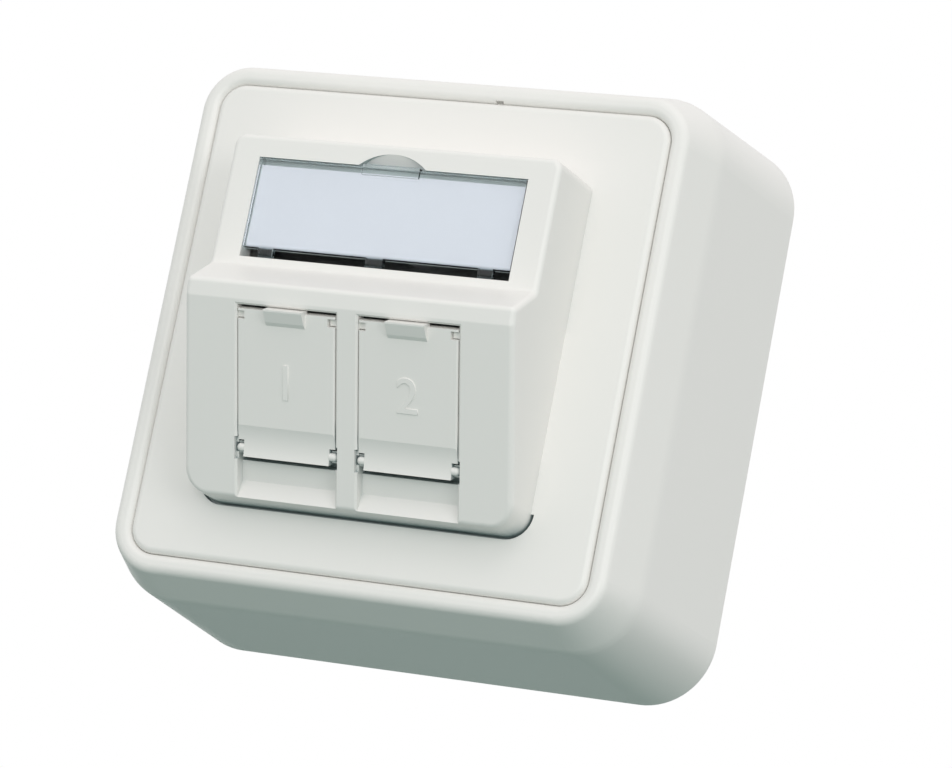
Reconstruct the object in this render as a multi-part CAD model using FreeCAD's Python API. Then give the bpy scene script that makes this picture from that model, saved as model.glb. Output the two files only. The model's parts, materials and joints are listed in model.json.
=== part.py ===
import FreeCAD, Part
import math
import os

# Surface mount jack box with two shielded sockets, in millimetres.
# The origin is the middle of the wall face. +X is right, +Z is up, and the front faces -Y.

# Housing: a deep moulded cap that is open at the back.
back_size = 83.8
housing_depth = 37.0
crease_distance = 28.5            # from the wall to the crease between side and bevel
side_draft = 3.41                 # degrees
bevel_angle = 17.0                # degrees
back_corner_radius = 10.0
crease_corner_radius = 9.2
rim_corner_radius = 6.6
housing_wall = 2.2
crease_round = 8.0
rim_round = 1.3
rim_width = 2.5                   # from the housing's front edge to the centre plate's inset
inset_round = 1.1
ledge_width = 1.6
ledge_thickness = 2.0
pry_notch_width = 1.2
pry_notch_rise = 0.4
pry_notch_depth = 1.5
pry_notch_offset = 8.5

# Centre plate: a thin square panel with the outlet block on it, one moulding.
panel_gap = 0.04
panel_thickness = 2.2
panel_corner_radius = 3.9
panel_round = 0.9
foot_groove = 0.45                # shadow groove around the outlet block's lower edge
foot_groove_depth = 1.6

# Outlet block. Heights are measured from the panel's front.
block_width = 50.4
block_bottom = -26.6
block_draft = 1.0                 # degrees
block_wall = 1.8
block_top_radius = 1.6
block_bottom_radius = 3.5
block_round = 0.8
smallest_radius = 0.4
label_height = 12.2
label_foot = 5.1
nose_height = 18.1
nose_top = 1.2
nose_drop = 2.4                   # from the nose's top edge down to the port face
nose_setback = 0.5                # of the port face's top edge from the nose
nose_wall = 2.9
port_tilt = 26.0                  # degrees from upright, facing down

# Label window in the block, with its clear cover.
window_side = 4.65                # from the window to the block's side
window_foot = 1.2                 # from the label face's foot to the window
window_height = 14.6
window_head = 3.5                 # from the window to the block's top
window_depth = 1.4
window_floor = 1.6
hinge_slot = 1.5
slot_rise = 0.8                   # of the hinge slot's top towards its back
snap_groove = 1.1
finger_notch_width = 10.3
finger_notch_rise = 1.9
finger_notch_sink = 0.1
card_thickness = 0.3
card_margin = 0.3
card_foot_margin = 0.05
card_top_margin = 0.95
cover_thickness = 0.9
cover_gap = 0.15
hinge_clearance = 0.2
cover_end_tab = 2.2
cover_end_tab_inset = 2.5
cover_middle_tab = 2.6
finger_lip_inset = 0.8
finger_lip_height = 1.5
finger_lip_proud = 0.4

# Jack module, in the tilted frame of the port face.
plug_width = 11.8
plug_height = 6.8
plug_depth = 12.0
latch_width = 6.2
latch_height = 2.4
jack_side = 1.4                   # from the plug's way to the shield's side
jack_roof = 5.6                   # from the plug's way to the shield's top
jack_floor = 1.4                  # from the latch's way to the shield's bottom
jack_foot_gap = 0.6
jack_setback = 2.0
jack_length = 22.0
shield_wall = 0.8
shield_lug = 1.0
fit = 0.05
comb_margin = 0.62
comb_height = 2.1
comb_start = 3.0
contact_pitch = 1.02
contact_count = 8
contact_width = 0.4
contact_thickness = 0.35
contact_bend = 0.6                # from the chamber's front to the fold in a spring wire
contact_fold = 0.3
contact_reach = 5.5
contact_drop = 3.4
tail_slot = 1.05
insert_length = 12.8
board_thickness = 1.2
wire_block_length = 7.0
blade_slot_width = 1.0
blade_slot_depth = 5.0
blade_thickness = 0.4
blade_width = 2.6
blade_pitch = 2.9
blade_row = 4.2
blade_setback = 0.5
fork_depth = 3.5
fork_gap = 0.4
cap_length = 9.0
cap_wall = 1.0
cap_shoulder = 1.5
cable_hole = 7.5

# Flap openings and dust flaps. Places along the slope are measured down from the port face's top.
opening_gap = 0.3                 # from the jack to the opening's side
port_web = 3.3                    # between the two openings
opening_start = 0.75
opening_flare = 0.3
flap_gap = 0.13
flap_top_gap = 0.55
flap_thickness = 1.5
flap_sink = 0.05
flap_edge = 0.3
flap_dish = 0.35
flap_dish_length = 3.35           # from the crease to the pivot
flap_foot = 1.15                  # below the pivot
flap_foot_notch = 0.55            # above the pins
pivot_place = 21.15
pivot_depth = 0.8
pin_diameter = 1.25
pin_clearance = 0.05
pin_end_gap = 0.15
seat_width = 0.9
seat_half_height = 0.85
seat_setback = 0.2                # of the cradle's front behind the pivot
seat_pocket = 0.35
seat_pocket_half_height = 1.6
hinge_room_above = 1.25           # from the pivot to the top of the room behind it
hinge_room_below = 2.15
hinge_room_depth = 4.0
grip_width = 5.9
grip_height = 2.5
grip_reach = 1.2
grip_top_gap = 0.12
grip_land = 0.25
grip_waist = 1.9                  # from the grip's top to the change in its slope
grip_waist_reach = 0.5
detent_place = 1.6
detent_height = 1.15
detent_depth = 1.1
detent_sink = 0.7
detent_gap = 0.12

# Scoop under each flap, into which the open flap swings.
scoop_depth = 2.0
scoop_wall = 1.6
scoop_foot_height = 2.06
scoop_lip = 0.3
step_lead = 0.3

# Metal carrier between the wall base and the centre plate.
carrier_thickness = 1.5
carrier_clearance = 0.4
carrier_radius = 2.0
collar_wall = 1.3
collar_setback = 7.6
collar_length = 16.0
boss_diameter = 7.0
boss_rise = 5.0
screw_diameter = 3.0
screw_head = 5.5
screw_head_height = 1.7
head_clearance = 0.3
screw_edge = 3.07                 # from a frame screw to the carrier's side
screw_engagement = 9.0
drive_width = 1.0
drive_depth = 0.8
earth_screw_side = 9.15
earth_screw_top = 11.15

# Wall base, which lies on the wall inside the housing.
base_thickness = 2.5
base_rim_height = 7.0
base_rim_wall = 1.6
base_clearance = 0.1
post_diameter = 7.5
gusset_share = 0.6                # of the post's height
wall_slot_width = 4.5
wall_slot_length = 8.0
wall_slot_pitch = 60.0
cable_window_width = 36.0
cable_window_height = 17.0
cable_window_centre = 14.0

# Cutters run past a surface by the overshoot, and joined pieces run into each other by the overlap.
overshoot = 1.0
overlap = 0.5
near = 0.01

# Derived sizes of the housing and the centre plate.
front_y = -housing_depth
panel_back_y = front_y + panel_thickness
crease_half = back_size / 2 - crease_distance * math.tan(math.radians(side_draft))
bevel_length = housing_depth - crease_distance
front_half = crease_half - bevel_length * math.tan(math.radians(bevel_angle))
inset_half = front_half - rim_width
inset_radius = panel_corner_radius + panel_gap
panel_half = inset_half - panel_gap
ledge_half = inset_half - ledge_width
block_half = block_width / 2
draft_ratio = math.tan(math.radians(block_draft))
far = 2 * back_size

# Derived sizes of the label window.
label_y = front_y - label_height
window_half = block_half - window_side
window_bottom = label_foot + window_foot
window_top = window_bottom + window_height
block_top = window_top + window_head
window_floor_y = label_y + window_depth
window_back_y = window_floor_y + window_floor
label_centre = (window_top + window_bottom + hinge_slot) / 2
cover_back_y = window_floor_y - card_thickness - cover_gap / 2
cover_front_y = cover_back_y - cover_thickness
cover_hinge_y = cover_back_y - cover_thickness / 2
cover_hinge_z = window_bottom + hinge_clearance + cover_thickness / 2

# Derived sizes of the jacks and the flap openings.
nose_y = front_y - nose_height
port_edge_y = nose_y + nose_setback
port_edge_z = nose_top - nose_drop
tilt = math.radians(port_tilt)
port_length = (port_edge_z - block_bottom) / math.cos(tilt)
jack_width = plug_width + 2 * jack_side
jack_height = plug_height + latch_height + jack_roof + jack_floor
room_start = pivot_place - hinge_room_above
room_end = pivot_place + hinge_room_below
jack_centre = room_start - jack_foot_gap - jack_height / 2
jack_back = jack_setback + jack_length
insert_front = jack_setback + shield_wall
insert_back = insert_front + insert_length
board_back = insert_back + board_thickness
wire_block_back = board_back + wire_block_length
plug_top = -jack_centre + jack_height / 2 - jack_roof
comb_width = contact_count * contact_pitch + 2 * comb_margin
opening_half = jack_width / 2 + opening_gap
port_pitch = 2 * opening_half + port_web
port_centres = (-port_pitch / 2, port_pitch / 2)
flap_half = opening_half - flap_gap
flap_top = opening_start + flap_top_gap
foot_half = opening_half - seat_width - flap_gap
foot_end = pivot_place + flap_foot
pin_radius = pin_diameter / 2

# Derived sizes of the carrier.
carrier_front_y = panel_back_y + carrier_clearance + screw_head_height
carrier_back_y = carrier_front_y + carrier_thickness
boss_front_y = carrier_front_y - boss_rise
carrier_half = ledge_half - carrier_clearance
frame_screw_x = carrier_half - screw_edge
earth_screw_x = earth_screw_side - carrier_half
earth_screw_z = carrier_half - earth_screw_top
screw_seat_y = window_floor_y + screw_head_height + head_clearance / 2


def vec(x, y, z):
    return FreeCAD.Vector(x, y, z)


def box(x0, x1, y0, y1, z0, z1):
    return Part.makeBox(x1 - x0, y1 - y0, z1 - z0, vec(x0, y0, z0))


def rod_y(x, z, radius, y0, y1):
    return Part.makeCylinder(radius, y1 - y0, vec(x, y0, z), vec(0, 1, 0))


def rod_x(y, z, radius, x0, x1):
    return Part.makeCylinder(radius, x1 - x0, vec(x0, y, z), vec(1, 0, 0))


def slab(outline, x0, x1):
    """Extrude a closed (y, z) outline from x0 to x1."""
    points = [vec(x0, y, z) for y, z in outline]
    face = Part.Face(Part.makePolygon(points + points[:1]))
    return face.extrude(vec(x1 - x0, 0, 0))


def rounded_rectangle(x0, x1, z0, z1, y, top_radius, bottom_radius):
    """A wire at one depth: four straight sides and four round corners."""
    corners = (
        (x1 - top_radius, z1 - top_radius, top_radius, 0),
        (x0 + top_radius, z1 - top_radius, top_radius, 90),
        (x0 + bottom_radius, z0 + bottom_radius, bottom_radius, 180),
        (x1 - bottom_radius, z0 + bottom_radius, bottom_radius, 270),
    )
    arcs = []
    for x, z, radius, start in corners:
        points = []
        for turn in (start, start + 45, start + 90):
            angle = math.radians(turn)
            points.append(vec(x + radius * math.cos(angle), y, z + radius * math.sin(angle)))
        arcs.append(points)
    edges = []
    for number, points in enumerate(arcs):
        following = arcs[(number + 1) % len(arcs)]
        edges.append(Part.Arc(*points).toShape())
        edges.append(Part.makeLine(points[2], following[0]))
    return Part.Wire(edges)


def rounded_square(half, radius, y):
    return rounded_rectangle(-half, half, -half, half, y, radius, radius)


def square_block(half, radius, y0, y1):
    face = Part.Face(rounded_square(half, radius, y0))
    return face.extrude(vec(0, y1 - y0, 0))


def fuse(shapes):
    joined = shapes[0].multiFuse(shapes[1:])
    return joined.removeSplitter()


def port_point(along, depth):
    """The (y, z) of a point so far down the port face and so deep behind it."""
    y = port_edge_y + along * math.sin(tilt) + depth * math.cos(tilt)
    z = port_edge_z - along * math.cos(tilt) + depth * math.sin(tilt)
    return y, z


def to_port(shape):
    """Move a shape from the port's own frame: X right, Y inwards, Z up the slope."""
    turn = FreeCAD.Rotation(vec(1, 0, 0), port_tilt)
    place = FreeCAD.Placement(vec(0, port_edge_y, port_edge_z), turn)
    moved = shape.copy()
    moved.Placement = place.multiply(moved.Placement)
    return moved


def housing_half(distance):
    """Half the housing's outer width at a distance from the wall."""
    if distance <= crease_distance:
        return back_size / 2 - distance * math.tan(math.radians(side_draft))
    return crease_half - (distance - crease_distance) * math.tan(math.radians(bevel_angle))


def housing_radius(distance):
    if distance <= crease_distance:
        share = distance / crease_distance
        return back_corner_radius + share * (crease_corner_radius - back_corner_radius)
    share = (distance - crease_distance) / bevel_length
    return crease_corner_radius + share * (rim_corner_radius - crease_corner_radius)


def housing_wire(distance, inset):
    return rounded_square(housing_half(distance) - inset, housing_radius(distance) - inset, -distance)


def edges_near(shape, test):
    """The edges whose two ends both pass a test on (x, y, z)."""
    found = []
    for edge in shape.Edges:
        ends = [vertex.Point for vertex in edge.Vertexes]
        if ends and all(test(end) for end in ends):
            found.append(edge)
    return found


def surface_housing():
    side = Part.makeLoft([housing_wire(0, 0), housing_wire(crease_distance, 0)], True, True)
    bevel = Part.makeLoft([housing_wire(crease_distance, 0), housing_wire(housing_depth, 0)], True, True)
    shell = side.fuse(bevel)
    crease = edges_near(shell, lambda end: abs(end.y + crease_distance) < near)
    shell = shell.makeFillet(crease_round, crease)
    rim = edges_near(shell, lambda end: abs(end.y + housing_depth) < near)
    shell = shell.makeFillet(rim_round, rim)
    ledge_back = housing_depth - panel_thickness - ledge_thickness
    hollow = Part.makeLoft(
        [housing_wire(0, housing_wall), housing_wire(crease_distance, housing_wall)], True, True
    )
    front_hollow = Part.makeLoft(
        [housing_wire(crease_distance, housing_wall), housing_wire(ledge_back, housing_wall)], True, True
    )
    shell = shell.cut(hollow).cut(front_hollow)
    ledge_radius = inset_radius - ledge_width
    shell = shell.cut(square_block(ledge_half, ledge_radius, front_y - overshoot, 0))
    shell = shell.cut(square_block(inset_half, inset_radius, front_y - overshoot, panel_back_y))
    inner_rim = [
        edge
        for edge in edges_near(shell, lambda end: abs(end.y - front_y) < near)
        if edge.BoundBox.XMax < inset_half + near and edge.BoundBox.XMin > -inset_half - near
    ]
    shell = shell.makeFillet(inset_round, inner_rim)
    notch = box(
        pry_notch_offset - pry_notch_width / 2,
        pry_notch_offset + pry_notch_width / 2,
        front_y - overshoot,
        front_y + pry_notch_depth,
        inset_half - overshoot,
        inset_half + pry_notch_rise,
    )
    return shell.cut(notch)


def block_frustum(inset):
    """The block's drafted sides, moved in by a wall."""
    y0 = panel_back_y
    y1 = nose_y - overshoot
    wires = []
    for y in (y0, y1):
        lean = (front_y - y) * draft_ratio + inset
        wires.append(
            rounded_rectangle(
                -block_half + lean,
                block_half - lean,
                block_bottom + lean,
                block_top - lean,
                y,
                max(block_top_radius - inset, smallest_radius),
                max(block_bottom_radius - inset, smallest_radius),
            )
        )
    return Part.makeLoft(wires, True, True)


def block_front():
    """Side outline of the block's front: label face, ramp, nose and port face."""
    foot = port_point(port_length + block_width, 0)
    outline = [
        (0, back_size),
        (label_y, back_size),
        (label_y, label_foot),
        (nose_y, nose_top),
        (port_edge_y, port_edge_z),
        foot,
        (0, foot[1]),
    ]
    return slab(outline, -back_size / 2, back_size / 2)


def block_cavity():
    """The hollow behind the block's front, deeper behind the scoops."""
    ramp_slope = (label_foot - nose_top) / (nose_height - label_height)
    ramp_drop = block_wall * math.sqrt(1 + ramp_slope**2)
    nose_inner_y = nose_y + nose_wall
    start = (nose_inner_y - port_edge_y - block_wall * math.cos(tilt)) / math.sin(tilt)
    step = room_start - step_lead
    scoop_y = port_point(room_end, hinge_room_depth)[0] + scoop_wall
    step_depth = (scoop_y - port_point(step, 0)[0]) / math.cos(tilt)
    outline = [
        (0, back_size),
        (window_back_y, back_size),
        (window_back_y, label_foot - ramp_drop + (window_back_y - label_y) * ramp_slope),
        (nose_inner_y, nose_top - ramp_drop + (nose_inner_y - nose_y) * ramp_slope),
        port_point(start, block_wall),
        port_point(step, block_wall),
        port_point(step, step_depth),
        (scoop_y, -back_size),
        (0, -back_size),
    ]
    return slab(outline, -back_size / 2, back_size / 2).common(block_frustum(block_wall))


def label_recess():
    """Label window, the through slot for the cover's hinge, the snap groove and the finger notch."""
    half = window_half
    front = label_y - overshoot
    pocket = box(-half, half, front, window_floor_y, window_bottom, window_top)
    slot_top = window_bottom + hinge_slot
    slot_rate = slot_rise / window_floor
    slot = slab(
        [
            (front, window_bottom),
            (window_back_y + overshoot, window_bottom),
            (window_back_y + overshoot, slot_top + slot_rise + overshoot * slot_rate),
            (window_floor_y, slot_top),
            (front, slot_top),
        ],
        -half,
        half,
    )
    groove_bottom = window_top - card_top_margin
    groove = box(-half, half, front, window_floor_y + snap_groove, groove_bottom, window_top)
    chord = finger_notch_width / 2
    rise = finger_notch_rise
    radius = (chord**2 + rise**2) / (2 * rise)
    disc = rod_y(0, window_top + rise - radius, radius, front, window_floor_y)
    wedge = [
        (front, window_top - finger_notch_sink),
        (window_floor_y, window_top - finger_notch_sink),
        (label_y, window_top + rise),
        (front, window_top + rise),
    ]
    return fuse([pocket, slot, groove, disc.common(slab(wedge, -chord, chord))])


def flare(x0, x1, z0, z1):
    """A cutter that slants a flat face's edge around an opening."""
    wires = []
    for spread, y in ((0, opening_flare), (opening_flare + overshoot, -overshoot)):
        corners = (
            vec(x0 - spread, y, z0 - spread),
            vec(x1 + spread, y, z0 - spread),
            vec(x1 + spread, y, z1 + spread),
            vec(x0 - spread, y, z1 + spread),
        )
        wires.append(Part.makePolygon(corners + corners[:1]))
    return Part.makeLoft(wires, True, True)


def port_opening(centre):
    """One flap opening with its hinge room, pin pockets and scoop, in the port's own frame."""
    x0 = centre - opening_half
    x1 = centre + opening_half
    front = -3 * overshoot
    below = -port_length - 3 * overshoot
    way = box(x0, x1, front, 3 * block_wall, -room_start, -opening_start)
    outline = [
        (front, -room_start),
        (hinge_room_depth, -room_start),
        (hinge_room_depth, -room_end),
        (scoop_depth, -room_end),
        (scoop_depth, -port_length + scoop_foot_height),
        (scoop_lip, -port_length),
        (scoop_lip, below),
        (front, below),
    ]
    cuts = [way, slab(outline, x0, x1), flare(x0, x1, below, -opening_start)]
    pocket_bottom = -pivot_place - seat_pocket_half_height
    pocket_top = -pivot_place + seat_pocket_half_height
    for side in (-1, 1):
        wall = centre + side * opening_half
        inner = wall - side * overlap
        outer = wall + side * seat_pocket
        cuts.append(box(min(inner, outer), max(inner, outer), front, pivot_depth, pocket_bottom, pocket_top))
    return fuse(cuts)


def hinge_seats(centre):
    """Two cradles behind the flap's pins, and the two detent nubs at its top corners."""
    shapes = []
    seat_front = pivot_depth + seat_setback
    seat_back = hinge_room_depth + overlap
    seat_bottom = -pivot_place - seat_half_height
    seat_top = -pivot_place + seat_half_height
    nub_top = -detent_place - detent_gap
    nub_bottom = -detent_place - detent_height + detent_gap
    for side in (-1, 1):
        wall = centre + side * opening_half
        root = wall + side * overlap
        inner = wall - side * seat_width
        shapes.append(box(min(root, inner), max(root, inner), seat_front, seat_back, seat_bottom, seat_top))
        nub = wall - side * (flap_gap + detent_depth - detent_gap)
        shapes.append(box(min(root, nub), max(root, nub), detent_sink, flap_thickness, nub_bottom, nub_top))
    return shapes


def pin_grooves(centre):
    radius = pin_radius + pin_clearance
    reach = opening_half + seat_pocket
    return rod_x(pivot_depth, -pivot_place, radius, centre - reach, centre + reach)


def shadow_groove():
    """A shallow groove in the panel around the block's lower edge. The block fills its inside."""
    half = block_half + foot_groove
    bottom = block_bottom - foot_groove
    radius = block_bottom_radius + foot_groove
    wire = rounded_rectangle(-half, half, bottom, block_top, front_y - overshoot, block_top_radius, radius)
    ring = Part.Face(wire).extrude(vec(0, overshoot + foot_groove_depth, 0))
    return ring.common(box(-far, far, -far, 0, bottom, block_bottom + block_bottom_radius))


def centre_plate():
    panel = square_block(panel_half, panel_corner_radius, front_y, panel_back_y)
    panel_front = edges_near(panel, lambda end: abs(end.y - front_y) < near)
    panel = panel.makeFillet(panel_round, panel_front).cut(shadow_groove())
    block = block_frustum(0).common(block_front())
    front_edges = edges_near(block, lambda end: end.y < front_y - overshoot)
    block = block.makeFillet(block_round, front_edges)
    plate = panel.fuse(block)
    column = rod_y(0, label_centre, boss_diameter / 2, window_floor_y, boss_front_y)
    plate = plate.cut(block_cavity()).fuse(column)
    plate = plate.cut(label_recess())
    plate = plate.cut(screw_hole(0, label_centre, window_floor_y - overshoot, 0))
    plate = plate.cut(screw_pocket())
    seats = []
    for centre in port_centres:
        plate = plate.cut(to_port(port_opening(centre)))
        seats.extend(to_port(seat) for seat in hinge_seats(centre))
    plate = plate.fuse(seats)
    for centre in port_centres:
        plate = plate.cut(to_port(pin_grooves(centre)))
    return plate.removeSplitter()


def screw_pocket():
    radius = screw_head / 2 + head_clearance
    return rod_y(0, label_centre, radius, window_floor_y - overshoot, screw_seat_y)


def pan_screw(x, z, seat_y, length):
    """A pan head screw along Y: its head in front of the seat, a crossed drive in the head."""
    head = rod_y(x, z, screw_head / 2, seat_y - screw_head_height, seat_y)
    top = edges_near(head, lambda end: end.y < seat_y - screw_head_height / 2)
    head = head.makeFillet(screw_head_height / 3, top)
    shaft = rod_y(x, z, screw_diameter / 2, seat_y, seat_y + length)
    screw = head.fuse(shaft)
    reach = screw_head / 3
    for half_x, half_z in ((reach, drive_width / 2), (drive_width / 2, reach)):
        slot = box(
            x - half_x,
            x + half_x,
            seat_y - screw_head_height - overshoot,
            seat_y - screw_head_height + drive_depth,
            z - half_z,
            z + half_z,
        )
        screw = screw.cut(slot)
    return screw


def centre_screw():
    length = boss_front_y + screw_engagement - screw_seat_y
    return pan_screw(0, label_centre, screw_seat_y, length)


def frame_screws():
    screws = [
        pan_screw(x, 0, carrier_front_y, screw_engagement) for x in (-frame_screw_x, frame_screw_x)
    ]
    return Part.makeCompound(screws)


def earth_screw():
    return pan_screw(earth_screw_x, earth_screw_z, carrier_front_y, 3 * carrier_thickness)


def screw_hole(x, z, y0, y1):
    return rod_y(x, z, screw_diameter / 2 + fit, y0, y1)


def jack_box(centre, margin, depth0, depth1):
    """A rectangle of the jack's outline with a margin, between two depths, in the port's frame."""
    half_width = jack_width / 2 + margin
    half_height = jack_height / 2 + margin
    return box(
        centre - half_width,
        centre + half_width,
        depth0,
        depth1,
        -jack_centre - half_height,
        -jack_centre + half_height,
    )


def carrier_frame():
    """A cast plate with a slanted collar for the two jacks and a boss for the centre screw."""
    plate = square_block(carrier_half, carrier_radius, carrier_front_y, carrier_back_y)
    boss = rod_y(0, label_centre, boss_diameter / 2, boss_front_y, carrier_back_y + overlap)
    half_width = (port_pitch + jack_width) / 2 + fit + collar_wall
    half_height = jack_height / 2 + fit + collar_wall
    collar = box(
        -half_width,
        half_width,
        collar_setback,
        collar_setback + collar_length,
        -jack_centre - half_height,
        -jack_centre + half_height,
    )
    collar = collar.makeFillet(collar_wall, edges_along_y(collar))
    frame = fuse([plate, boss, to_port(collar)])
    for centre in port_centres:
        frame = frame.cut(to_port(jack_box(centre, fit, collar_setback - overshoot, far)))
    frame = frame.cut(screw_hole(0, label_centre, window_floor_y, 0))
    for x in (-frame_screw_x, frame_screw_x):
        frame = frame.cut(screw_hole(x, 0, panel_back_y, 0))
    return frame.cut(screw_hole(earth_screw_x, earth_screw_z, panel_back_y, 0))


def edges_along_y(shape):
    found = []
    for edge in shape.Edges:
        direction = edge.Vertexes[1].Point - edge.Vertexes[0].Point
        if abs(direction.y) > 0.99 * direction.Length:
            found.append(edge)
    return found


def wall_slot(z):
    half = (wall_slot_length - wall_slot_width) / 2
    radius = wall_slot_width / 2
    front = -base_thickness - overshoot
    return fuse(
        [
            rod_y(0, z - half, radius, front, overshoot),
            rod_y(0, z + half, radius, front, overshoot),
            box(-radius, radius, front, overshoot, z - half, z + half),
        ]
    )


def wall_base():
    half = housing_half(base_rim_height) - housing_wall - base_clearance
    radius = housing_radius(base_rim_height) - housing_wall - base_clearance
    base = square_block(half, radius, -base_rim_height, 0)
    base = base.cut(square_block(half - base_rim_wall, radius - base_rim_wall, -far, -base_thickness))
    shapes = [base]
    for side in (-1, 1):
        x = side * frame_screw_x
        shapes.append(rod_y(x, 0, post_diameter / 2, carrier_back_y, -base_thickness))
        shapes.append(post_gusset(x, side, half - base_rim_wall / 2))
    base = fuse(shapes)
    hole_back = carrier_back_y + screw_engagement + overshoot
    for side in (-1, 1):
        base = base.cut(screw_hole(side * frame_screw_x, 0, carrier_back_y - overshoot, hole_back))
        base = base.cut(wall_slot(side * wall_slot_pitch / 2))
    window = box(
        -cable_window_width / 2,
        cable_window_width / 2,
        -base_thickness - overshoot,
        overshoot,
        cable_window_centre - cable_window_height / 2,
        cable_window_centre + cable_window_height / 2,
    )
    return base.cut(window)


def post_gusset(x, side, reach):
    """Stiffening ribs from a post to the plate and the rim."""
    half = base_rim_wall / 2
    front = (carrier_back_y + base_thickness) * gusset_share - base_thickness
    upright = box(x - half, x + half, front, -base_thickness, -post_diameter, post_diameter)
    inner = min(x, side * reach)
    outer = max(x, side * reach)
    outwards = box(inner, outer, -base_rim_height, -base_thickness, -half, half)
    return upright.fuse(outwards)


def label_card():
    half = window_half - card_margin
    bottom = window_bottom + hinge_slot + card_foot_margin
    top = window_top - card_top_margin
    return box(-half, half, window_floor_y - card_thickness, window_floor_y, bottom, top)


def label_cover():
    """Clear lid with three hinge tabs at its lower edge and a raised finger lip at its upper edge."""
    radius = cover_thickness / 2
    half = window_half - cover_gap
    sheet_bottom = window_bottom + hinge_slot
    sheet_top = window_top - cover_gap
    sheet = box(-half, half, cover_front_y, cover_back_y, sheet_bottom, sheet_top)
    lip_half = finger_notch_width / 2 - finger_lip_inset
    lip_front = cover_front_y - finger_lip_proud
    lip_back = cover_back_y - cover_thickness / 2
    lip_top = window_top + cover_gap
    lip = box(-lip_half, lip_half, lip_front, lip_back, lip_top - finger_lip_height, lip_top)
    shapes = [sheet, lip]
    end = half - cover_end_tab_inset
    spans = (
        (-end, -end + cover_end_tab),
        (-cover_middle_tab / 2, cover_middle_tab / 2),
        (end - cover_end_tab, end),
    )
    for x0, x1 in spans:
        shapes.append(box(x0, x1, cover_front_y, cover_back_y, cover_hinge_z, sheet_bottom))
        shapes.append(rod_x(cover_hinge_y, cover_hinge_z, radius, x0, x1))
    return fuse(shapes)


def flap_plate(centre):
    """The flap's flat plate: eased front edges, a dished foot, and cut corners."""
    back = flap_sink + flap_thickness
    plate = box(centre - flap_half, centre + flap_half, flap_sink, back, -foot_end, -flap_top)
    sides = [
        edge
        for edge in edges_near(plate, lambda end: end.y < flap_sink + near)
        if edge.BoundBox.XLength < near
    ]
    plate = plate.makeFillet(flap_edge, sides)
    half_chord = (flap_dish_length + flap_foot) / 2
    radius = (half_chord**2 + flap_dish**2) / (2 * flap_dish)
    dish_y = flap_sink + flap_dish - radius
    dish_z = half_chord - foot_end
    plate = plate.cut(rod_x(dish_y, dish_z, radius, centre - opening_half, centre + opening_half))
    foot_top = -pivot_place + pin_radius + flap_foot_notch
    for side in (-1, 1):
        edge = centre + side * (flap_half + overshoot)
        shoulder = centre + side * foot_half
        x0 = min(edge, shoulder)
        x1 = max(edge, shoulder)
        plate = plate.cut(box(x0, x1, -overshoot, back + overshoot, -foot_end - overshoot, foot_top))
        inner = centre + side * (flap_half - detent_depth)
        x0 = min(edge, inner)
        x1 = max(edge, inner)
        notch_bottom = -detent_place - detent_height
        plate = plate.cut(box(x0, x1, -overshoot, back + overshoot, notch_bottom, -detent_place))
    return plate


def flap_grip(centre):
    """A wedge at the flap's top that stands out from its front."""
    top = -opening_start - grip_top_gap
    front = flap_sink - grip_reach
    inside = flap_sink + flap_thickness / 2
    outline = [
        (inside, top),
        (front, top),
        (front, top - grip_land),
        (flap_sink - grip_waist_reach, top - grip_waist),
        (flap_sink, top - grip_height),
        (inside, top - grip_height),
    ]
    return slab(outline, centre - grip_width / 2, centre + grip_width / 2)


def dust_flap(centre):
    """A flap in the port's own frame: plate, grip, and two pins with round ends."""
    shapes = [flap_plate(centre), flap_grip(centre)]
    pin_end = opening_half + seat_pocket - pin_end_gap - pin_radius
    for side in (-1, 1):
        start = centre + side * foot_half
        end = centre + side * pin_end
        shapes.append(rod_x(pivot_depth, -pivot_place, pin_radius, min(start, end), max(start, end)))
        shapes.append(Part.makeSphere(pin_radius, vec(end, pivot_depth, -pivot_place)))
    return fuse(shapes)


def jack_shield(centre):
    """Cast shell of a jack: open at the back, with a plug window at the front and two stop lugs."""
    shell = jack_box(centre, 0, jack_setback, jack_back)
    shell = shell.cut(jack_box(centre, -shield_wall, insert_front, jack_back + overshoot))
    shell = shell.cut(plug_way(centre, jack_setback - overshoot, insert_front + overshoot))
    lug_half = jack_height / 5
    for side in (-1, 1):
        edge = centre + side * jack_width / 2
        tip = edge + side * shield_lug
        lug = box(
            min(edge, tip),
            max(edge, tip),
            collar_setback - 2 * shield_lug,
            collar_setback,
            -jack_centre - lug_half,
            -jack_centre + lug_half,
        )
        shell = shell.fuse(lug)
    return shell.removeSplitter()


def plug_way(centre, depth0, depth1):
    """The room for a plug and, under it, for its latch."""
    plug_half = plug_width / 2
    latch_half = latch_width / 2
    floor = plug_top - plug_height
    plug = box(centre - plug_half, centre + plug_half, depth0, depth1, floor, plug_top)
    latch = box(centre - latch_half, centre + latch_half, depth0, depth1, floor - latch_height, floor + fit)
    return fuse([plug, latch])


def jack_insert(centre):
    """Moulded socket body with the plug's way, the contact chamber and a slot for the contact tails."""
    body = jack_box(centre, -shield_wall - fit, insert_front, insert_back)
    plug_end = insert_front + plug_depth
    body = body.cut(plug_way(centre, insert_front - overshoot, plug_end))
    x0 = centre - comb_width / 2
    x1 = centre + comb_width / 2
    roof = plug_top + comb_height
    chamber = box(x0, x1, insert_front + comb_start, plug_end, plug_top - overshoot, roof)
    tails = box(x0, x1, plug_end - overshoot, insert_back + overshoot, roof - tail_slot, roof)
    return body.cut(chamber).cut(tails)


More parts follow.
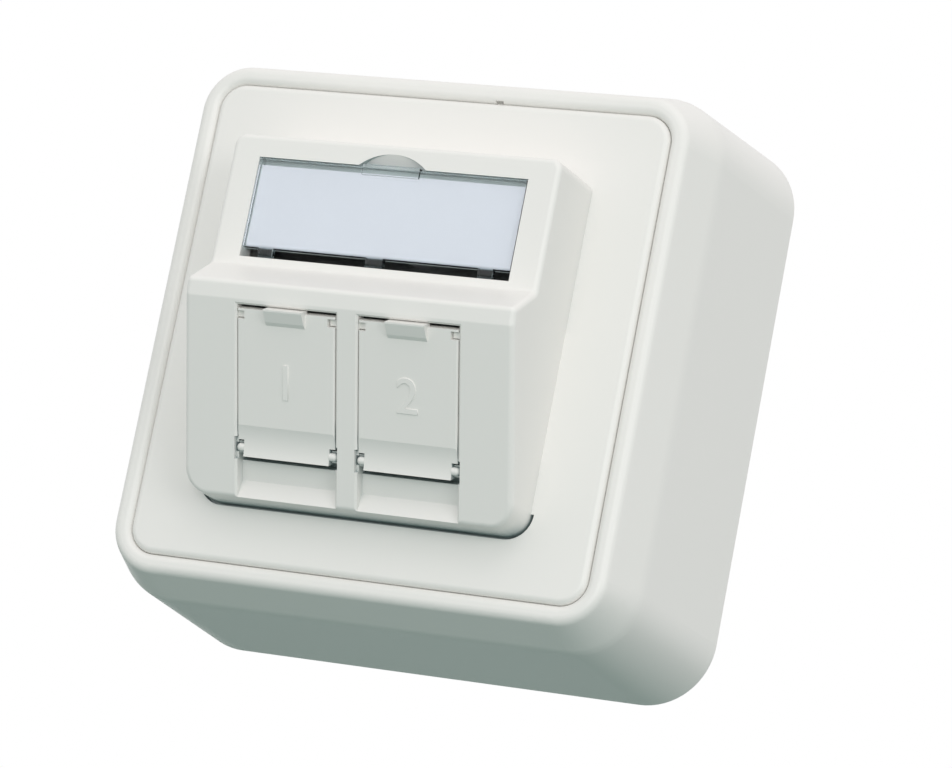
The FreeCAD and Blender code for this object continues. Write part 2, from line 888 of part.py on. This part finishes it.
def jack_contacts(centre):
    """Eight spring wires: along the chamber's roof, then folded back and down into the plug's way."""
    top = plug_top + comb_height
    roof = top - contact_thickness
    under = roof - contact_thickness
    front = insert_front + comb_start + contact_bend
    tip_depth = front + contact_reach
    tip = roof - contact_drop
    outline = [
        (insert_back, roof),
        (front, roof),
        (front - contact_fold, under),
        (tip_depth, tip),
        (tip_depth + contact_fold, tip + contact_thickness),
        (front + 3 * contact_fold, under),
        (insert_back, under),
    ]
    wires = []
    for number in range(contact_count):
        x = centre + (number - (contact_count - 1) / 2) * contact_pitch
        wires.append(slab(outline, x - contact_width / 2, x + contact_width / 2))
    return Part.makeCompound(wires)


def circuit_board(centre):
    return jack_box(centre, -shield_wall - fit, insert_back, board_back)


def blade_places(centre):
    """The (x, z, side) of the eight cutting blades, four in each row."""
    places = []
    for side in (-1, 1):
        for number in range(contact_count // 2):
            x = centre + (number - (contact_count / 2 - 1) / 2) * blade_pitch
            places.append((x, -jack_centre + side * blade_row, side))
    return places


def wire_block(centre):
    """Moulded block behind the board with eight wire slots that open to its rear and outer side."""
    body = jack_box(centre, -shield_wall - fit, board_back, wire_block_back)
    edge = jack_height / 2 - shield_wall
    front = wire_block_back - blade_slot_depth
    for x, z, side in blade_places(centre):
        outer = -jack_centre + side * (edge + overshoot)
        inner = z - side * blade_width / 2
        x0 = x - blade_slot_width / 2
        x1 = x + blade_slot_width / 2
        rear = wire_block_back + overshoot
        body = body.cut(box(x0, x1, front, rear, min(outer, inner), max(outer, inner)))
    return body


def cutting_blades(centre):
    """Eight forked blades that stand in the wire slots."""
    blades = []
    half_thickness = blade_thickness / 2
    half_width = blade_width / 2
    half_gap = fork_gap / 2
    front = wire_block_back - blade_slot_depth
    rear = wire_block_back - blade_setback
    fork_front = wire_block_back - fork_depth
    for x, z, side in blade_places(centre):
        blade = box(x - half_thickness, x + half_thickness, front, rear, z - half_width, z + half_width)
        fork = box(x - overshoot, x + overshoot, fork_front, wire_block_back, z - half_gap, z + half_gap)
        blades.append(blade.cut(fork))
    return Part.makeCompound(blades)


def cap_wire(centre, inset, depth, radius):
    """The rear cap's outline, moved in, at one depth."""
    x = jack_width / 2 - inset
    z = jack_height / 2 - inset
    return rounded_rectangle(
        centre - x, centre + x, -jack_centre - z, -jack_centre + z, depth, radius, radius
    )


def rear_cap(centre):
    """Cast cap that closes the jack's rear, with a tapered end and a cable hole."""
    shrink = (jack_width - cable_hole) / 2 - cap_shoulder
    cap_back = jack_back + cap_length
    outer = [cap_wire(centre, 0, jack_back, cap_wall), cap_wire(centre, shrink, cap_back, cap_wall)]
    inner_back = cap_back - 2 * cap_wall
    inner = [
        cap_wire(centre, cap_wall, jack_back, cap_wall / 2),
        cap_wire(centre, shrink + cap_wall, inner_back, cap_wall / 2),
    ]
    cap = Part.makeLoft(outer, True, True).cut(Part.makeLoft(inner, True, True))
    return cap.cut(rod_y(centre, -jack_centre, cable_hole / 2, jack_back, cap_back + overshoot))


def save(name, shape):
    shape.exportStep("parts/" + name + ".step")
    solids = len(shape.Solids)
    print(name, "solids", solids, "valid", shape.isValid(), "volume", round(shape.Volume, 2))


def main():
    os.makedirs("parts", exist_ok=True)
    save("surface_housing", surface_housing())
    save("wall_base", wall_base())
    save("carrier_frame", carrier_frame())
    save("frame_screws", frame_screws())
    save("earth_screw", earth_screw())
    save("centre_plate", centre_plate())
    save("centre_screw", centre_screw())
    save("label_card", label_card())
    save("label_cover", label_cover())
    jack_parts = (
        ("dust_flap", dust_flap),
        ("jack_shield", jack_shield),
        ("jack_insert", jack_insert),
        ("jack_contacts", jack_contacts),
        ("circuit_board", circuit_board),
        ("wire_block", wire_block),
        ("cutting_blades", cutting_blades),
        ("rear_cap", rear_cap),
    )
    for side, centre in zip(("left", "right"), port_centres):
        for name, make in jack_parts:
            save(name + "_" + side, to_port(make(centre)))


main()
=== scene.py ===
import bpy
import json
import math
from mathutils import Euler, Matrix, Vector


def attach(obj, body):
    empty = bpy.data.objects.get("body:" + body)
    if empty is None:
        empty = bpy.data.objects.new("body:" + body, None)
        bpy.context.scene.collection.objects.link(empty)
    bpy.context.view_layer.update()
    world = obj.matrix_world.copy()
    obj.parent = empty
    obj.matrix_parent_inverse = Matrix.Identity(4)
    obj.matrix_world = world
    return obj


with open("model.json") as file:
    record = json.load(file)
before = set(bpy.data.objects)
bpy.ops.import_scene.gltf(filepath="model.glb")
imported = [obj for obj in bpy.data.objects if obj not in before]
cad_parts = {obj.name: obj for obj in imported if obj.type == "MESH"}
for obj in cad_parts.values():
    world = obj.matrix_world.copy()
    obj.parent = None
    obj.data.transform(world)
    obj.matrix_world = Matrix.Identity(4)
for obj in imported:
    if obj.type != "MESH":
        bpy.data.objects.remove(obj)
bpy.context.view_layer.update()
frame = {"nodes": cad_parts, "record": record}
nodes = frame["nodes"]
mm = 0.001


# Shader building: sockets as plain expressions

class Socket:
    def __init__(self, shader, output):
        self.shader = shader
        self.output = output

    def combine(self, other, operation):
        return self.shader.node("ShaderNodeMath", {"operation": operation}, {0: self, 1: other})

    def larger(self, other):
        return self.combine(other, "MAXIMUM")

    def __abs__(self):
        return self.shader.node("ShaderNodeMath", {"operation": "ABSOLUTE"}, {0: self})

    def __add__(self, other):
        return self.combine(other, "ADD")

    __radd__ = __add__

    def __mul__(self, other):
        return self.combine(other, "MULTIPLY")

    __rmul__ = __mul__


class Shader:
    def __init__(self, owner, outputKind="ShaderNodeOutputMaterial"):
        owner.use_nodes = True
        self.owner = owner
        self.outputKind = outputKind
        self.tree = owner.node_tree
        self.tree.nodes.clear()

    def node(self, kind, settings=None, inputs=None, output=0):
        made = self.tree.nodes.new(kind)
        for name, value in (settings or {}).items():
            setattr(made, name, value)
        for name, value in (inputs or {}).items():
            if isinstance(value, Socket):
                self.tree.links.new(value.output, made.inputs[name])
            else:
                made.inputs[name].default_value = value
        if made.outputs:  # an output node has none
            return Socket(self, made.outputs[output])

    def objectPoint(self):
        return self.node("ShaderNodeTexCoord", output="Object")

    def axis(self, vector, name):
        return self.node("ShaderNodeSeparateXYZ", {}, {"Vector": vector}, output=name)

    def ramp(self, value, start, end):
        inputs = {"Value": value, "From Min": start, "From Max": end}
        return self.node("ShaderNodeMapRange", {}, inputs)

    def noise(self, scale, detail=2.0, roughness=0.5):
        inputs = {"Scale": scale, "Detail": detail, "Roughness": roughness}
        inputs["Vector"] = self.objectPoint()
        return self.node("ShaderNodeTexNoise", {}, inputs)

    def mixColor(self, factor, first, second):
        inputs = {"Factor": factor, 6: first, 7: second}
        return self.node("ShaderNodeMix", {"data_type": "RGBA"}, inputs, output=2)

    def bump(self, height, strength, distance):
        inputs = {"Height": height, "Strength": strength, "Distance": distance}
        return self.node("ShaderNodeBump", {}, inputs)

    def finish(self, surface):
        self.node(self.outputKind, {}, {"Surface": surface})
        return self.owner

    def surface(self, inputs):
        return self.finish(self.node("ShaderNodeBsdfPrincipled", {}, inputs))


def newShader(name):
    return Shader(bpy.data.materials.new(name))


# Materials

# Painted shade: how far it reaches and how dark gaps and undersides are painted in the base colour
shade = {
    "reach": 5.0 * mm,
    "samples": 8,
    "color": (0.38, 0.45, 0.45, 1.0),
    "deep": (0.55, 0.12),
    "under": (0.92, 0.55),
    "facingDown": (-0.4, -0.9),
    "windowFoot": (2.0 * mm, 4.0 * mm),
    "pinTop": (-15.0 * mm, -17.5 * mm),
    "outer": (29.0 * mm, 27.0 * mm),
}


# Where the painted shade goes: 1 at the label window and at the foot of the block, 0 beyond the
# block
def paintedShadeZone(shader):
    x = shader.axis(shader.objectPoint(), "X")
    z = shader.axis(shader.objectPoint(), "Z")
    window = shader.ramp(z, *shade["windowFoot"])
    foot = shader.ramp(z, *shade["pinTop"])
    inside = shader.ramp(abs(x).larger(abs(z)), *shade["outer"])
    return inside * window.larger(foot)


# Painted shade: narrow gaps, and undersides that stand close to another face, are painted darker
# in the base colour
def paintedShadeColor(shader, base):
    settings = {"samples": shade["samples"], "only_local": False}
    reach = {"Distance": shade["reach"]}
    sky = shader.node("ShaderNodeAmbientOcclusion", settings, reach, output="AO")
    upward = shader.axis(shader.node("ShaderNodeTexCoord", output="Normal"), "Z")
    deep = shader.ramp(sky, *shade["deep"])
    under = shader.ramp(sky, *shade["under"]) * shader.ramp(upward, *shade["facingDown"])
    return shader.mixColor(paintedShadeZone(shader) * deep.larger(under), base, shade["color"])


plasticFinish = {
    "cloudScale": 18.0,
    "cloudDetail": 3.0,
    "grainScale": 2600.0,
    "grainDetail": 2.0,
    "grainRoughness": 0.6,
    "grainDepth": 0.02 * mm,
    "glossSpread": 0.05,
    "ior": 1.5,
}


def mouldedPlastic(name, color, cloudColor, roughness, grain, withPaintedShade=False):
    finish = plasticFinish
    shader = newShader(name)
    cloud = shader.noise(finish["cloudScale"], finish["cloudDetail"])
    fine = shader.noise(finish["grainScale"], finish["grainDetail"], finish["grainRoughness"])
    base = shader.mixColor(cloud, color + (1.0,), cloudColor + (1.0,))
    # painted shade in gaps and undersides, put into the base colour
    if withPaintedShade:
        base = paintedShadeColor(shader, base)
    return shader.surface({
        "Base Color": base,
        "Roughness": roughness + finish["glossSpread"] * cloud,
        "Normal": shader.bump(fine, grain, finish["grainDepth"]),
        "IOR": finish["ior"],
    })


metalFinish = {
    "cloudScale": 260.0,
    "cloudDetail": 3.0,
    "cloudShade": 0.8,
    "grainScale": 1400.0,
    "grainDetail": 3.0,
    "grainRoughness": 0.7,
    "grainStrength": 0.3,
    "grainDepth": 0.04 * mm,
    "glossSpread": 0.15,
}


def castMetal(name, color, roughness):
    finish = metalFinish
    shader = newShader(name)
    cloud = shader.noise(finish["cloudScale"], finish["cloudDetail"])
    fine = shader.noise(finish["grainScale"], finish["grainDetail"], finish["grainRoughness"])
    dark = tuple(finish["cloudShade"] * part for part in color)
    return shader.surface({
        "Base Color": shader.mixColor(cloud, color + (1.0,), dark + (1.0,)),
        "Metallic": 1.0,
        "Roughness": roughness + finish["glossSpread"] * fine,
        "Normal": shader.bump(fine, finish["grainStrength"], finish["grainDepth"]),
    })


clearFinish = {
    "color": (0.97, 0.985, 0.99, 1.0),
    # painted shade: the hinge tabs are tinted dark below this height
    "tabPaintedShade": (0.3, 0.36, 0.38, 1.0),
    "tabTop": (8.2 * mm, 7.6 * mm),
    "throughColor": (0.95, 0.96, 0.965, 1.0),
    "hazeScale": 60.0,
    "roughness": 0.03,
    "hazeSpread": 0.03,
    "ior": 1.49,
}


# Clear, with painted shade at the hinge tabs (a dark tint in the base colour), and open to the
# light that falls through it
def clearPlastic():
    finish = clearFinish
    shader = newShader("clear_cover_plastic")
    haze = shader.noise(finish["hazeScale"])
    height = shader.axis(shader.objectPoint(), "Z")
    tabShadeMask = shader.ramp(height, *finish["tabTop"])
    glass = shader.node("ShaderNodeBsdfPrincipled", {}, {
        "Base Color": shader.mixColor(tabShadeMask, finish["color"], finish["tabPaintedShade"]),
        "Roughness": finish["roughness"] + finish["hazeSpread"] * haze,
        "IOR": finish["ior"],
        "Transmission Weight": 1.0,
    })
    shadowRay = shader.node("ShaderNodeLightPath", output="Is Shadow Ray")
    openWay = shader.node("ShaderNodeBsdfTransparent", {}, {"Color": finish["throughColor"]})
    ways = {0: shadowRay, 1: glass, 2: openWay}
    return shader.finish(shader.node("ShaderNodeMixShader", {}, ways))


labelFinish = {
    "color": (0.544, 0.569, 0.616, 1.0),
    "fibreColor": (0.53, 0.554, 0.601, 1.0),
    "fibreScale": 900.0,
    "fibreDetail": 4.0,
    "fibreRoughness": 0.6,
    "fibreStrength": 0.15,
    "fibreDepth": 0.02 * mm,
    "roughness": 0.75,
}


def labelPaper():
    finish = labelFinish
    shader = newShader("label_paper")
    fibre = shader.noise(finish["fibreScale"], finish["fibreDetail"], finish["fibreRoughness"])
    return shader.surface({
        "Base Color": shader.mixColor(fibre, finish["color"], finish["fibreColor"]),
        "Roughness": finish["roughness"],
        "Normal": shader.bump(fibre, finish["fibreStrength"], finish["fibreDepth"]),
    })


materials = {
    # the white plastic carries the painted shade of gaps and undersides
    "white_plastic": mouldedPlastic(
        "white_plastic", (0.88, 0.865, 0.835), (0.86, 0.845, 0.815), 0.36, 0.15, withPaintedShade=True
    ),
    "base_plastic": mouldedPlastic(
        "base_plastic", (0.80, 0.80, 0.77), (0.78, 0.78, 0.75), 0.5, 0.3
    ),
    "dark_plastic": mouldedPlastic(
        "dark_plastic", (0.03, 0.03, 0.032), (0.024, 0.024, 0.026), 0.45, 0.3
    ),
    "grey_plastic": mouldedPlastic("grey_plastic", (0.5, 0.51, 0.5), (0.46, 0.47, 0.46), 0.5, 0.3),
    "green_board": mouldedPlastic("green_board", (0.02, 0.16, 0.07), (0.02, 0.13, 0.06), 0.4, 0.3),
    "cast_zinc": castMetal("cast_zinc", (0.55, 0.56, 0.57), 0.4),
    "plated_zinc": castMetal("plated_zinc", (0.7, 0.68, 0.64), 0.28),
    "screw_steel": castMetal("screw_steel", (0.66, 0.67, 0.68), 0.3),
    "screw_brass": castMetal("screw_brass", (0.78, 0.6, 0.28), 0.3),
    "gold_contact": castMetal("gold_contact", (0.95, 0.72, 0.3), 0.2),
    "tinned_bronze": castMetal("tinned_bronze", (0.72, 0.7, 0.66), 0.3),
    "clear_plastic": clearPlastic(),
    "label_card": labelPaper(),
}


def dressNodes():
    slots = {row["node"]: row["material_slot"] for row in frame["record"]["subparts"]}
    for name, node in nodes.items():
        node.data.materials.clear()
        node.data.materials.append(materials[slots[name]])
    print("dressed", len(nodes), "nodes")


# Plain port numbers, raised on the flaps

numerals = {
    "height": 5.0 * mm,
    "rise": 0.15 * mm,
    "sunk": 0.1 * mm,
    "edge": 0.08 * mm,
    "slope": 11.5 * mm,
    "tilt": 26.0,
    "portEdge": (-54.6 * mm, -1.2 * mm),
    "flapFace": 0.05 * mm,
    "centres": {"left": -9.25 * mm, "right": 9.25 * mm},
    "capShare": 0.7,  # of the type size that a figure's height takes
    "curveSteps": 6,
}


def makeNumeral(side, digit):
    curve = bpy.data.curves.new("digit", "FONT")
    curve.body = digit
    curve.align_x = "CENTER"
    curve.align_y = "CENTER"
    curve.size = numerals["height"] / numerals["capShare"]
    curve.extrude = (numerals["rise"] + numerals["sunk"] - numerals["edge"]) / 2
    curve.bevel_depth = numerals["edge"] / 2
    curve.resolution_u = numerals["curveSteps"]
    holder = bpy.data.objects.new("digit", curve)
    mesh = bpy.data.meshes.new_from_object(holder)
    bpy.data.objects.remove(holder)
    angle = math.radians(numerals["tilt"])
    edgeY, edgeZ = numerals["portEdge"]
    depth = numerals["flapFace"] - (numerals["rise"] - numerals["sunk"]) / 2
    along = numerals["slope"]
    y = edgeY + along * math.sin(angle) + depth * math.cos(angle)
    z = edgeZ - along * math.cos(angle) + depth * math.sin(angle)
    turn = Matrix.Rotation(math.radians(90.0) + angle, 4, "X")
    mesh.transform(Matrix.Translation((numerals["centres"][side], y, z)) @ turn)
    mesh.materials.clear()
    mesh.materials.append(materials["white_plastic"])
    piece = bpy.data.objects.new("flap_number_" + side, mesh)
    bpy.context.scene.collection.objects.link(piece)
    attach(piece, "flap_" + side)


def makeNumerals():
    for side, digit in (("left", "1"), ("right", "2")):
        makeNumeral(side, digit)
    print("numerals on both flaps")


# Studio: camera, lamps, floor and white surround

studio = {
    "cameraPlace": (0.23668, -0.54799, -0.11901),
    "cameraTurn": (101.693, -10.805, 21.381),
    "lens": 154.9,
    "sensorWidth": 36.0,
    "clipStart": 0.01,
    "floorHeight": -0.6,
    "floorSize": 6.0,
    "surround": 0.73,
    "floorSeen": (0.78, 0.78, 0.78, 1.0),
    "floorLit": (0.25, 0.33, 0.31, 1.0),
    "floorRoughness": 0.9,
    "lamps": (  # name, place, size, power
        ("key", (0.42, -1.02, 1.02), 0.7, 1.6),
        ("side", (1.12, -0.98, 0.15), 0.7, 3.0),
        ("front", (0.3, -1.47, 0.0), 0.7, 4.7),
    ),
}


def makeCamera():
    data = bpy.data.cameras.new("camera")
    data.lens = studio["lens"]
    data.sensor_width = studio["sensorWidth"]
    data.clip_start = studio["clipStart"]
    camera = bpy.data.objects.new("camera", data)
    turn = Euler([math.radians(angle) for angle in studio["cameraTurn"]]).to_matrix().to_4x4()
    camera.matrix_world = Matrix.Translation(studio["cameraPlace"]) @ turn
    bpy.context.scene.collection.objects.link(camera)
    bpy.context.scene.camera = camera


def makeLamp(name, place, size, power):
    data = bpy.data.lights.new(name, "AREA")
    data.shape = "DISK"
    data.size = size
    data.energy = power
    lamp = bpy.data.objects.new(name, data)
    lamp.location = place
    lamp.rotation_euler = (-Vector(place)).to_track_quat("-Z", "Y").to_euler()
    bpy.context.scene.collection.objects.link(lamp)


# Pale where it is seen, and dimmer as a light from below
def makeFloor():
    half = studio["floorSize"] / 2
    z = studio["floorHeight"]
    mesh = bpy.data.meshes.new("floor")
    corners = [(-half, -half, z), (half, -half, z), (half, half, z), (-half, half, z)]
    mesh.from_pydata(corners, [], [(0, 1, 2, 3)])
    floor = bpy.data.objects.new("floor", mesh)
    bpy.context.scene.collection.objects.link(floor)
    shader = newShader("floor_paint")
    straight = shader.node("ShaderNodeLightPath", output="Is Camera Ray")
    through = shader.node("ShaderNodeLightPath", output="Is Transmission Ray")
    paint = shader.mixColor(straight.larger(through), studio["floorLit"], studio["floorSeen"])
    mesh.materials.append(shader.surface({
        "Base Color": paint,
        "Roughness": studio["floorRoughness"],
        "Specular IOR Level": 0.0,
    }))


# White where it is seen: straight on, through the cover or in a reflection. Softer as a light
def makeSurround():
    world = bpy.data.worlds.new("surround")
    bpy.context.scene.world = world
    shader = Shader(world, "ShaderNodeOutputWorld")
    straight = shader.node("ShaderNodeLightPath", output="Is Camera Ray")
    through = shader.node("ShaderNodeLightPath", output="Is Transmission Ray")
    mirrored = shader.node("ShaderNodeLightPath", output="Is Glossy Ray")
    seen = straight.larger(through).larger(mirrored)
    levels = {"Value": seen, "To Min": studio["surround"], "To Max": 1.0}
    strength = shader.node("ShaderNodeMapRange", {}, levels)
    white = {"Color": (1.0, 1.0, 1.0, 1.0), "Strength": strength}
    shader.finish(shader.node("ShaderNodeBackground", {}, white))


def makeStudio():
    makeCamera()
    makeFloor()
    makeSurround()
    for name, place, size, power in studio["lamps"]:
        makeLamp(name, place, size, power)
    bpy.context.scene.view_settings.view_transform = "Standard"
    print("studio ready")


dressNodes()
makeNumerals()
makeStudio()
